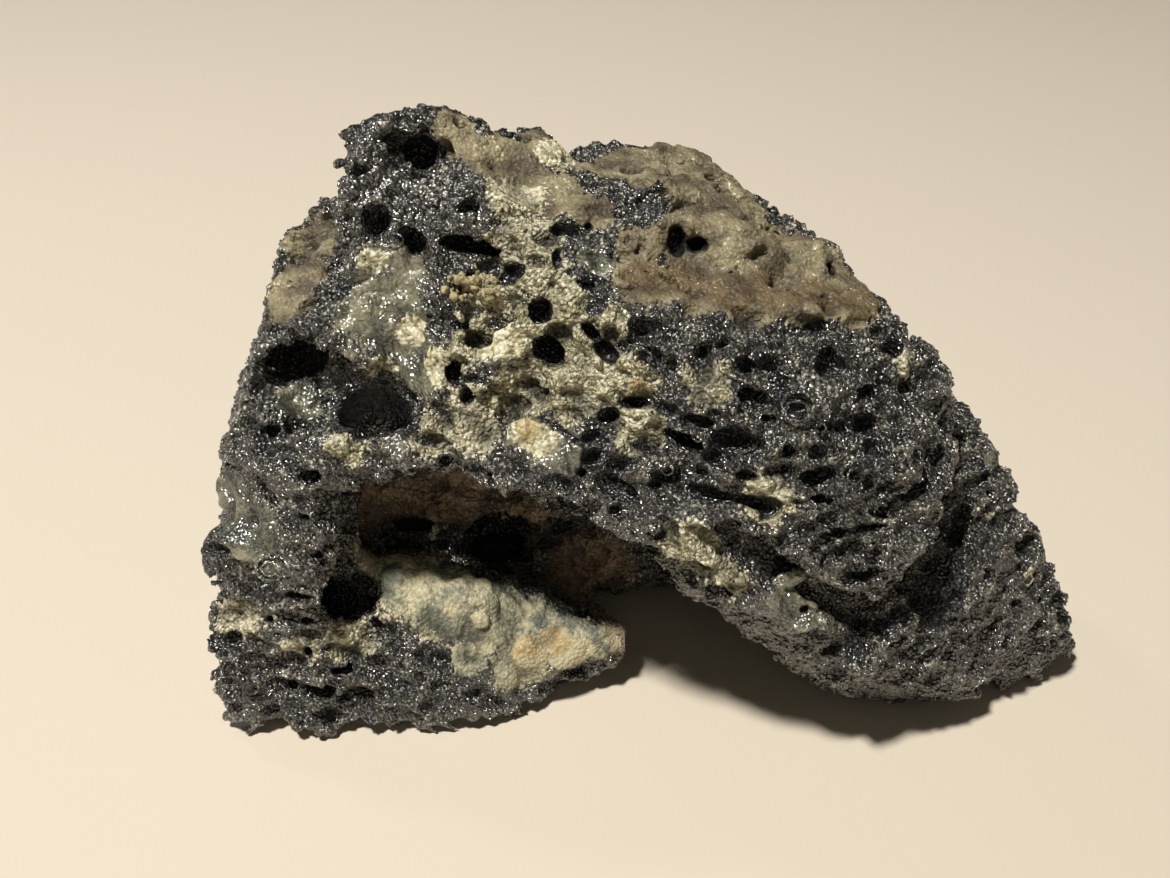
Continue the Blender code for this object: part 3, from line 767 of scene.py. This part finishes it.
# Basalt glass, freshly broken, is nearly black with a glassy lustre, so that each grain gives the
# eye a pinpoint of light. The walls of large bubbles are waxy and grey-green. The weathered crust
# is a dull brown, and tan and ochre dust lies over both.
GLASS_BLACK, GLASS_OLIVE, GLASS_GREY = "0E0E0B", "58554A", "DAD7C4"
WALL_DARK, WALL_GREEN, WALL_PALE = "2B2C22", "5E5F4D", "98957D"
CRUST_DARK, CRUST_BROWN, CRUST_PALE = "5C5241", "7B7159", "9A9071"
SHELF_DARK, SHELF_BROWN = "4F4230", "706146"
POWDER_GREEN, POWDER_GREY, POWDER_TAN = "6F7263", "A3A088", "CEC6A2"
DUST_DARK, DUST_TAN, DUST_PALE = "7E795C", "CCC5A2", "F8F2DA"
OCHRE = "B9A272"
# The cave is brown dust, painted paler than the dust itself as painted bounce light: the warm
# light bounced into it.
CAVE_DUST_AND_BOUNCE_DARK, CAVE_DUST_AND_BOUNCE_PALE = "A08A70", "CBB498"
# The black of painted shade, in the gaps between grains, in deep hollows and inside bubbles.
PAINTED_SHADE_BLACK = "080706"
# Real sizes in mm. The grains of the real glass go down to 0.02 mm, and are drawn ten times as
# coarse, because they would not show.
GRAIN_SIZE = 0.20
FINE_GRAIN = 0.15
SPECKLE_SIZE = 0.2
PATCH_SIZE = 1.5
GRAIN_HEIGHT = 0.24

basalt = bpy.data.materials.new("broken_glassy_basalt")
basalt.use_nodes = True
tree = basalt.node_tree
shader = tree.nodes["Principled BSDF"]
where = add_node(tree, "ShaderNodeTexCoord").outputs["Object"]
zone = {
    name: add_node(tree, "ShaderNodeAttribute", {"attribute_name": name}).outputs["Fac"]
    for name in (*ZONES, "sunk", "painted_hollow_shade")
}
beads = add_node(
    tree, "ShaderNodeTexVoronoi", {"Scale": 1 / (GRAIN_SIZE * MM)}, {"Vector": where}
)
grains = add_node(
    tree, "ShaderNodeTexNoise", {"Scale": 1 / (FINE_GRAIN * MM), "Detail": 1.0}, {"Vector": where}
)
speckle = add_node(
    tree,
    "ShaderNodeTexNoise",
    {"Scale": 1 / (SPECKLE_SIZE * MM), "Detail": 3.0, "Roughness": 0.65},
    {"Vector": where},
)
patches = add_node(
    tree,
    "ShaderNodeTexNoise",
    {"Scale": 1 / (PATCH_SIZE * MM), "Detail": 4.0, "Roughness": 0.55},
    {"Vector": where},
)
# Colour changes from grain to grain, and again over patches of a millimetre or two. The powder
# and the crust are mottled more by the patches, and the glass by each grain's own tone. Each
# pattern is one value times its weight, plus another, and runs over a span of its own.
SPECKLE_WEIGHT, PATCH_WEIGHT, TONE_WEIGHT = 1.5, 2.0, 0.6
CLOUD_SPAN = (1.15, 1.85)
MOTTLE_SPAN = (0.95, 1.55)
MOTTLE_MIDDLE, BEAD_TONE_MIDDLE = 1.25, 1.50

mottle = add_node(
    tree,
    "ShaderNodeMath",
    {"operation": "MULTIPLY_ADD", 1: SPECKLE_WEIGHT},
    {0: speckle.outputs["Fac"], 2: patches.outputs["Fac"]},
).outputs[0]
cloud = add_node(
    tree,
    "ShaderNodeMath",
    {"operation": "MULTIPLY_ADD", 1: PATCH_WEIGHT},
    {0: patches.outputs["Fac"], 2: speckle.outputs["Fac"]},
).outputs[0]
bead_tone = add_node(
    tree,
    "ShaderNodeMath",
    {"operation": "MULTIPLY_ADD", 1: TONE_WEIGHT},
    {0: beads.outputs["Color"], 2: mottle},
).outputs[0]


def tones(pattern, span, *stops):
    """A run of colours over a pattern's span."""
    ends = {"From Min": span[0], "From Max": span[1]}
    share = add_node(tree, "ShaderNodeMapRange", ends, {"Value": pattern})
    ramp = add_node(tree, "ShaderNodeValToRGB", links={"Fac": share.outputs[0]}, stops=stops)
    return ramp.outputs[0]


glass = tones(
    bead_tone, (1.2, 2.05), (0.2, GLASS_BLACK), (0.55, GLASS_OLIVE), (0.9, GLASS_GREY)
)
wall = tones(cloud, CLOUD_SPAN, (0.15, WALL_DARK), (0.5, WALL_GREEN), (0.85, WALL_PALE))
brown = tones(cloud, CLOUD_SPAN, (0.15, CRUST_DARK), (0.5, CRUST_BROWN), (0.9, CRUST_PALE))
shelf = tones(cloud, CLOUD_SPAN, (0.2, SHELF_DARK), (0.7, SHELF_BROWN))
toe = tones(
    cloud, (1.2, 1.8), (0.15, POWDER_GREEN), (0.5, POWDER_GREY), (0.85, POWDER_TAN)
)
tan = tones(bead_tone, (1.15, 2.0), (0.15, DUST_DARK), (0.5, DUST_TAN), (0.9, DUST_PALE))
ochre = tones(mottle, MOTTLE_SPAN, (0.2, POWDER_TAN), (0.6, OCHRE))
# The cave's tones: its brown dust with painted bounce light.
cave = tones(mottle, MOTTLE_SPAN, (0.2, CAVE_DUST_AND_BOUNCE_DARK), (0.7, CAVE_DUST_AND_BOUNCE_PALE))

# How far into a zone's soft edge its cover reaches.
COVER_EDGE = 0.35


def cover(name, below, colour, reach, ragged, grains_of=mottle, middle=MOTTLE_MIDDLE):
    """Lays a colour over the one below, out to a torn edge that the grains make round its zone.

    reach is the zone's weight against the grains, and ragged half the width of the torn edge.
    """
    weight = {"operation": "MULTIPLY_ADD", 1: reach}
    level = add_node(tree, "ShaderNodeMath", weight, {0: zone[name], 2: grains_of})
    edge = middle + COVER_EDGE * reach
    ends = {"From Min": edge - ragged, "From Max": edge + ragged}
    share = add_node(tree, "ShaderNodeMapRange", ends, {"Value": level.outputs[0]}).outputs[0]
    sources = {0: share, 6: below, 7: colour}
    return add_node(tree, "ShaderNodeMix", {"data_type": "RGBA"}, sources).outputs[2], share


def most(first, *others):
    """The greatest of several shares."""
    for other in others:
        sources = {0: first, 1: other}
        first = add_node(tree, "ShaderNodeMath", {"operation": "MAXIMUM"}, sources).outputs[0]
    return first


# Each cover lies on the ones before it: waxy bubble walls, brown crust and its darker shelf, the
# toe's powder, tan dust and ochre clay.
colour, wall_share = cover("glass", glass, wall, reach=1.2, ragged=0.20)
colour, crust_cover = cover("crust", colour, brown, reach=1.7, ragged=0.12)
colour, shelf_cover = cover("shelf", colour, shelf, reach=1.3, ragged=0.25)
colour, powder_cover = cover("powder", colour, toe, reach=1.3, ragged=0.15)
colour, dust_cover = cover(
    "dust", colour, tan, reach=1.5, ragged=0.10, grains_of=bead_tone, middle=BEAD_TONE_MIDDLE
)
colour, _ = cover("ochre", colour, ochre, reach=1.6, ragged=0.25)

# Painted shade: the gaps between the grains are painted black on the broken faces, for the shade
# in them, and this painted shade is nearly lost under a cover.
GAP_SPAN, GAP_PAINTED_SHADE = (0.34, 0.66), 0.9
DUST_FILLS_GAPS = 0.8
GAPS_UNDER_COVER = 0.15

dusty = add_node(tree, "ShaderNodeMapRange", {"To Max": DUST_FILLS_GAPS}, {"Value": dust_cover})
covered = most(wall_share, powder_cover, dusty.outputs[0], crust_cover, shelf_cover)
open_face = add_node(
    tree, "ShaderNodeMapRange", {"To Min": 1.0, "To Max": GAPS_UNDER_COVER}, {"Value": covered}
)
gap_shade = add_node(
    tree,
    "ShaderNodeMapRange",
    {"From Min": GAP_SPAN[0], "From Max": GAP_SPAN[1], "To Max": GAP_PAINTED_SHADE},
    {"Value": beads.outputs["Distance"]},
)
open_gap_shade = add_node(
    tree, "ShaderNodeMath", {"operation": "MULTIPLY"}, {0: gap_shade.outputs[0], 1: open_face.outputs[0]}
)
with_gap_shade = add_node(
    tree,
    "ShaderNodeMix",
    {"data_type": "RGBA", 7: linear(PAINTED_SHADE_BLACK)},
    {0: open_gap_shade.outputs[0], 6: colour},
)

# Painted shade: deep hollows are painted dark, for the little light that comes back out of them,
# except in the cave, which takes its pale brown with painted bounce light. Depths in mm.
DEEP_SPAN, DEEP_PAINTED_SHADE = (0.38, 0.85), 0.85

in_cave = add_node(
    tree,
    "ShaderNodeMix",
    {"data_type": "RGBA"},
    {0: zone["cave"], 6: with_gap_shade.outputs[2], 7: cave},
)
sunk_outside_cave = add_node(
    tree, "ShaderNodeMath", {"operation": "SUBTRACT"}, {0: zone["sunk"], 1: zone["cave"]}
)
deep = add_node(
    tree,
    "ShaderNodeMapRange",
    {"From Min": DEEP_SPAN[0], "From Max": DEEP_SPAN[1], "To Max": DEEP_PAINTED_SHADE},
    {"Value": sunk_outside_cave.outputs[0]},
)
with_painted_shade = add_node(
    tree,
    "ShaderNodeMix",
    {"data_type": "RGBA", 7: linear(PAINTED_SHADE_BLACK)},
    {0: most(zone["painted_hollow_shade"], deep.outputs[0]), 6: in_cave.outputs[2]},
)
tree.links.new(with_painted_shade.outputs[2], shader.inputs["Base Color"])

# Lustre: a clear coat stands for the glass of fresh grains, and is all but gone where the rock is
# crusted, powdery or dusty.
FRESH_ROUGHNESS, DULL_ROUGHNESS = 0.5, 0.68
FRESH_COAT, DULL_COAT = 1.0, 0.04
WALL_DULLNESS = 0.2

crusted = most(crust_cover, shelf_cover)
waxy = add_node(tree, "ShaderNodeMapRange", {"To Max": WALL_DULLNESS}, {"Value": wall_share})
dull = most(crusted, powder_cover, dust_cover, zone["cave"], waxy.outputs[0])
for socket, fresh, worn in (
    ("Roughness", FRESH_ROUGHNESS, DULL_ROUGHNESS),
    ("Coat Weight", FRESH_COAT, DULL_COAT),
):
    lustre = add_node(
        tree, "ShaderNodeMapRange", {"To Min": fresh, "To Max": worn}, {"Value": dull}
    )
    tree.links.new(lustre.outputs[0], shader.inputs[socket])
shader.inputs["IOR"].default_value = 1.7
shader.inputs["Specular IOR Level"].default_value = 0.25
shader.inputs["Coat Roughness"].default_value = 0.21
shader.inputs["Coat IOR"].default_value = 2.3

# The grains stand up from the broken faces, and are softer on beads, walls, powder and crust.
FINE_GRAIN_SHARE = 0.9
SOFTENED = 0.42

grain_relief = add_node(
    tree,
    "ShaderNodeMath",
    {"operation": "MULTIPLY_ADD", 1: FINE_GRAIN_SHARE},
    {0: grains.outputs["Fac"], 2: beads.outputs["Distance"]},
)
smoothed = most(zone["beads"], wall_share, powder_cover, crusted)
strength = add_node(
    tree, "ShaderNodeMapRange", {"To Min": 1.0, "To Max": SOFTENED}, {"Value": smoothed}
)
bump = add_node(
    tree,
    "ShaderNodeBump",
    {"Distance": GRAIN_HEIGHT * MM, "invert": True},
    {"Height": grain_relief.outputs[0], "Strength": strength.outputs[0]},
)
tree.links.new(bump.outputs["Normal"], shader.inputs["Normal"])
tree.links.new(bump.outputs["Normal"], shader.inputs["Coat Normal"])
for part in skin_parts:
    part.data.materials.append(basalt)
    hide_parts("lava_rock")
    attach(part, "root")


# ---------------------------------------------------------------------------------------------
# Glassy grit: the splinters and grains of basalt glass that stud the broken faces and the rims of
# the bubbles. They are part of the rock, 0.05 to 0.3 mm wide, and each is half sunk in the skin.
# ---------------------------------------------------------------------------------------------
GRIT_COUNT = 22_000
GRIT_SIZES = (0.04, 0.11)
GRIT_STRETCH = (0.6, 1.4)
GRIT_SEED = 31
# Grit is thin on crust, in hollows deeper than GRIT_DEPTH in mm, and behind the broken front.
CRUST_HIDES = 0.9
GRIT_ON_SMOOTH = 0.03
GRIT_DEPTH, GRIT_FADE, GRIT_LOST_DEEP = 0.25, 0.5, 0.9
GRIT_BEHIND_FROM, GRIT_BEHIND = -1, 0.45


def in_basalt(name, mesh):
    """A piece of the rock's own glass, with its zones marked, put in the scene."""
    mark_zones(mesh, points_of(mesh))
    mesh.shade_smooth()
    mesh.materials.append(basalt)
    return put_in_scene(name, mesh)


def as_arrays(bm):
    """The points and the faces of a finished small shape, whose bmesh is then let go."""
    bm.verts.index_update()
    points = np.array([v.co for v in bm.verts])
    faces = np.array([[v.index for v in f.verts] for f in bm.faces])
    bm.free()
    return points, faces


bm = bmesh.new()
TIPS = ((1, 0, 0), (-1, 0, 0), (0, 1, 0), (0, -1, 0), (0, 0, 1), (0, 0, -1))
bmesh.ops.convex_hull(bm, input=[bm.verts.new(tip) for tip in TIPS])
bmesh.ops.recalc_face_normals(bm, faces=bm.faces)
splinter = as_arrays(bm)

corners_of_skin = []
for part in skin_parts:
    triangles = np.empty(len(part.data.polygons) * 3, np.int32)
    part.data.polygons.foreach_get("vertices", triangles)
    corners_of_skin.append(points_of(part.data)[triangles.reshape(-1, 3)])
corners_of_skin = np.concatenate(corners_of_skin)


def scatter(count, wanted, dice):
    """Picks places and outward directions on the skin. wanted gives each point's share."""
    corners = corners_of_skin
    spans = np.cross(corners[:, 1] - corners[:, 0], corners[:, 2] - corners[:, 0])
    areas = np.linalg.norm(spans, axis=1) + 1e-12
    weights = areas * wanted(corners.mean(1), spans / areas[:, None])
    picked = dice.choice(len(areas), count, p=weights / weights.sum())
    mix = dice.dirichlet((1, 1, 1), count)
    return (corners[picked] * mix[:, :, None]).sum(1), spans[picked] / areas[picked][:, None]


def random_turns(count, dice):
    """Even random rotations, as matrices."""
    q = dice.normal(size=(count, 4))
    w, x, y, z = (q / np.linalg.norm(q, axis=1)[:, None]).T
    rows = [
        [1 - 2 * (y * y + z * z), 2 * (x * y - w * z), 2 * (x * z + w * y)],
        [2 * (x * y + w * z), 1 - 2 * (x * x + z * z), 2 * (y * z - w * x)],
        [2 * (x * z - w * y), 2 * (y * z + w * x), 1 - 2 * (x * x + y * y)],
    ]
    return np.array(rows).transpose(2, 0, 1)


def copies(name, shape, places, turns, sizes):
    """One mesh of many copies of a small shape. turns are matrices, and sizes one row each."""
    shape_points, shape_faces = shape
    sized = shape_points[:, None, :] * sizes[None]
    points = np.einsum("nij,pnj->npi", turns, sized) + places[:, None, :]
    offsets = np.arange(len(places))[:, None, None] * len(shape_points)
    faces = (shape_faces[None] + offsets).reshape(-1, shape_faces.shape[1])
    return mesh_from(name, points.reshape(-1, 3), faces)


def copies_in_box(name, shape, places, sizes, dice):
    """Copies of a small shape, turned at random, without those that would pass the box."""
    limit = sizes.max(1)[:, None]
    inside = ((places - limit > box_low) & (places + limit < box_high)).all(1)
    places, sizes = places[inside], sizes[inside]
    return copies(name, shape, places, random_turns(len(places), dice), sizes)


def bareness(points):
    """How bare the broken face is at each point: little under crust, powder or a wall."""
    smooth = np.maximum(share_in("glass", *points.T), share_in("powder", *points.T))
    return 1 - np.maximum(smooth, CRUST_HIDES * share_in("crust", *points.T))


def grit_share(points, outward):
    """Grit sits on broken faces and rims, seldom on crust, powder or bubble walls."""
    deep = np.clip(-read_form(points) - GRIT_DEPTH, 0, GRIT_FADE) / GRIT_FADE
    front = np.where(points[:, 1] < GRIT_BEHIND_FROM, 1.0, GRIT_BEHIND)
    return np.clip(bareness(points), GRIT_ON_SMOOTH, 1) * (1 - GRIT_LOST_DEEP * deep) * front


dice = np.random.default_rng(GRIT_SEED)
spots, _ = scatter(GRIT_COUNT, grit_share, dice)
sizes = dice.uniform(*GRIT_SIZES, GRIT_COUNT)[:, None]
sizes = sizes * dice.uniform(*GRIT_STRETCH, (GRIT_COUNT, 3))
grit_mesh = copies_in_box("glassy_grit", splinter, spots, sizes, dice)
grit = in_basalt("glassy_grit", grit_mesh)
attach(grit, "root")


# ---------------------------------------------------------------------------------------------
# Glass beads: drops of melt that froze round on the crown and along the rims, like black caviar,
# 0.2 to 0.7 mm wide. Part of the rock, and more than half sunk in it.
# ---------------------------------------------------------------------------------------------
BEAD_COUNT = 1_500
BEAD_SIZES = (0.11, 0.30)
BEAD_STRETCH = (0.75, 1.2)
BEAD_SINK = (0.3, 0.8)
BEAD_SEED = 51
# Outside their zones beads are few, fewer still behind, and none lie in deep hollows.
STRAY_BEADS = 0.07
BEADS_BEHIND_FROM, BEADS_BEHIND = 5, 0.2
BEADS_FADE_AT, BEADS_FADE = 1.2, 2

bm = bmesh.new()
bmesh.ops.create_cube(bm, size=2)
bmesh.ops.subdivide_edges(bm, edges=bm.edges, cuts=1, use_grid_fill=True)
for vert in bm.verts:
    vert.co.normalize()
ball = as_arrays(bm)


def bead_share_at(points, outward):
    """Beads crowd the bead zones and a few stud the other broken faces."""
    shallow = np.clip(BEADS_FADE_AT + BEADS_FADE * read_form(points), 0, 1)
    front = np.where(points[:, 1] < BEADS_BEHIND_FROM, 1.0, BEADS_BEHIND)
    strays = STRAY_BEADS * bareness(points) * front
    return (strays + share_in("beads", *points.T)) * shallow + TINY


dice = np.random.default_rng(BEAD_SEED)
spots, outward = scatter(BEAD_COUNT, bead_share_at, dice)
sizes = dice.uniform(*BEAD_SIZES, BEAD_COUNT)[:, None]
sizes = sizes * dice.uniform(*BEAD_STRETCH, (BEAD_COUNT, 3))
sink = dice.uniform(*BEAD_SINK, BEAD_COUNT)[:, None]
spots = spots - outward * sizes.mean(1)[:, None] * sink
bead_mesh = copies_in_box("glass_beads", ball, spots, sizes, dice)
beads_on_rims = in_basalt("glass_beads", bead_mesh)
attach(beads_on_rims, "root")


# ---------------------------------------------------------------------------------------------
# Bubble rims: where a bubble burst at the broken face, its wall was left standing as a thin
# raised ring of glass. Sizes in mm, at places of the camera's frame.
# ---------------------------------------------------------------------------------------------
RIMS = [
    # across, down, width, height, tilt in degrees
    (799, 406, 1.35, 1.30, 0), (797, 412, 1.05, 1.00, 20), (857, 477, 0.70, 0.70, 0),
    (829, 438, 0.58, 0.55, 0), (822, 428, 0.45, 0.40, 0), (268, 570, 1.35, 1.20, 0),
    (268, 570, 0.80, 0.70, 0), (514, 205, 0.55, 0.42, 10), (641, 358, 0.80, 0.80, 0),
    (700, 436, 0.70, 0.60, 0), (667, 470, 0.50, 0.42, 0), (733, 466, 0.60, 0.50, 10),
    (862, 512, 0.60, 0.55, 0), (900, 455, 0.65, 0.60, 0), (776, 330, 0.60, 0.50, 0),
    (850, 350, 0.70, 0.60, 0), (430, 196, 0.70, 0.65, 0), (395, 240, 0.70, 0.60, 0),
    (338, 480, 0.60, 0.50, 0), (246, 590, 0.70, 0.60, 0), (250, 690, 0.80, 0.60, 0),
    (1000, 540, 0.60, 0.60, 0), (1030, 580, 0.55, 0.55, 0), (980, 520, 0.45, 0.60, 0),
]
RIM_WALL = 0.13
RIM_SINK = 0.22
RIM_UNEVEN = 0.022
RIM_SEED = 61

bm = bmesh.new()
bmesh.ops.create_circle(bm, segments=6, radius=RIM_WALL)
bmesh.ops.rotate(bm, verts=bm.verts, matrix=Matrix.Rotation(math.radians(90), 3, "X"))
bmesh.ops.translate(bm, verts=bm.verts, vec=(1, 0, 0))
bmesh.ops.spin(
    bm, geom=bm.edges[:], cent=(0, 0, 0), axis=(0, 0, 1), angle=math.tau, steps=28, use_merge=True
)
bmesh.ops.recalc_face_normals(bm, faces=bm.faces)
ring = as_arrays(bm)

dice = np.random.default_rng(RIM_SEED)
spots, turns, sizes = [], [], []
for across, down, width, height, tilt in RIMS:
    point, axes = mouth_of(across, down, tilt)
    spots.append(point - axes[2] * RIM_SINK)
    turns.append(axes.T)
    sizes.append((width / 2, height / 2, (width + height) / 3))
rim_mesh = copies("bubble_rims", ring, np.array(spots), np.array(turns), np.array(sizes))
uneven = points_of(rim_mesh) + dice.normal(0, RIM_UNEVEN, (len(rim_mesh.vertices), 3))
rim_mesh.vertices.foreach_set("co", (uneven * MM).astype(np.float32).ravel())
rims = in_basalt("bubble_rims", rim_mesh)
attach(rims, "root")


# ---------------------------------------------------------------------------------------------
# Ochre crumbs: small clods of clay dust that caught in the seam above the glassy dish. Dry, dull
# and uneven, 0.1 to 0.5 mm across, they lie on faces that look up and hold by themselves.
# ---------------------------------------------------------------------------------------------
CRUMB_COUNT = 190
CRUMB_SIZES = (0.06, 0.24)
CRUMB_FINENESS = 1.6
CRUMB_STRETCH = (0.7, 1.2)
CRUMB_WOBBLE = 0.2
CRUMBS_LOOK_UP = 0.5
CRUMB_SEED = 41
CLAY_LIGHT, CLAY_DARK = "BDB28A", "6F664C"
CLAY_GRAIN = 0.25
CLAY_GRAIN_HEIGHT = 0.04


def crumb_share(points, outward):
    """Crumbs lie in their zone of the seam, on faces that look up."""
    return share_in("crumbs", *points.T) * np.clip(outward[:, 2] + CRUMBS_LOOK_UP, 0, 1) + TINY


dice = np.random.default_rng(CRUMB_SEED)
spots, _ = scatter(CRUMB_COUNT, crumb_share, dice)
span = CRUMB_SIZES[1] / CRUMB_SIZES[0]
sizes = CRUMB_SIZES[0] * span ** dice.random(CRUMB_COUNT)[:, None] ** CRUMB_FINENESS
sizes = sizes * dice.uniform(*CRUMB_STRETCH, (CRUMB_COUNT, 3))
crumb_mesh = copies("ochre_crumbs", ball, spots, random_turns(CRUMB_COUNT, dice), sizes)
wobbly = points_of(crumb_mesh)
widths = np.repeat(sizes.mean(1), len(ball[0]))[:, None]
wobbly += dice.normal(0, CRUMB_WOBBLE, wobbly.shape) * widths
crumb_mesh.vertices.foreach_set("co", (wobbly * MM).astype(np.float32).ravel())

# Dry clay is quite dull, with a fine crumbly tooth, pale where it has dried out most.
clay = bpy.data.materials.new("dry_ochre_clay")
clay.use_nodes = True
tree = clay.node_tree
shader = tree.nodes["Principled BSDF"]
where = add_node(tree, "ShaderNodeTexCoord").outputs["Object"]
mottle = add_node(
    tree, "ShaderNodeTexNoise", {"Scale": 1 / (CLAY_GRAIN * MM), "Detail": 4.0}, {"Vector": where}
)
clay_colour = add_node(
    tree,
    "ShaderNodeValToRGB",
    links={"Fac": mottle.outputs["Fac"]},
    stops=((0.35, CLAY_DARK), (0.62, CLAY_LIGHT)),
)
tree.links.new(clay_colour.outputs[0], shader.inputs["Base Color"])
shader.inputs["Roughness"].default_value = 0.9
clay_bump = add_node(
    tree,
    "ShaderNodeBump",
    {"Distance": CLAY_GRAIN_HEIGHT * MM, "Strength": 0.8},
    {"Height": mottle.outputs["Fac"]},
)
tree.links.new(clay_bump.outputs["Normal"], shader.inputs["Normal"])
crumb_mesh.materials.append(clay)
crumbs = put_in_scene("ochre_crumbs", crumb_mesh)
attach(crumbs, "root")
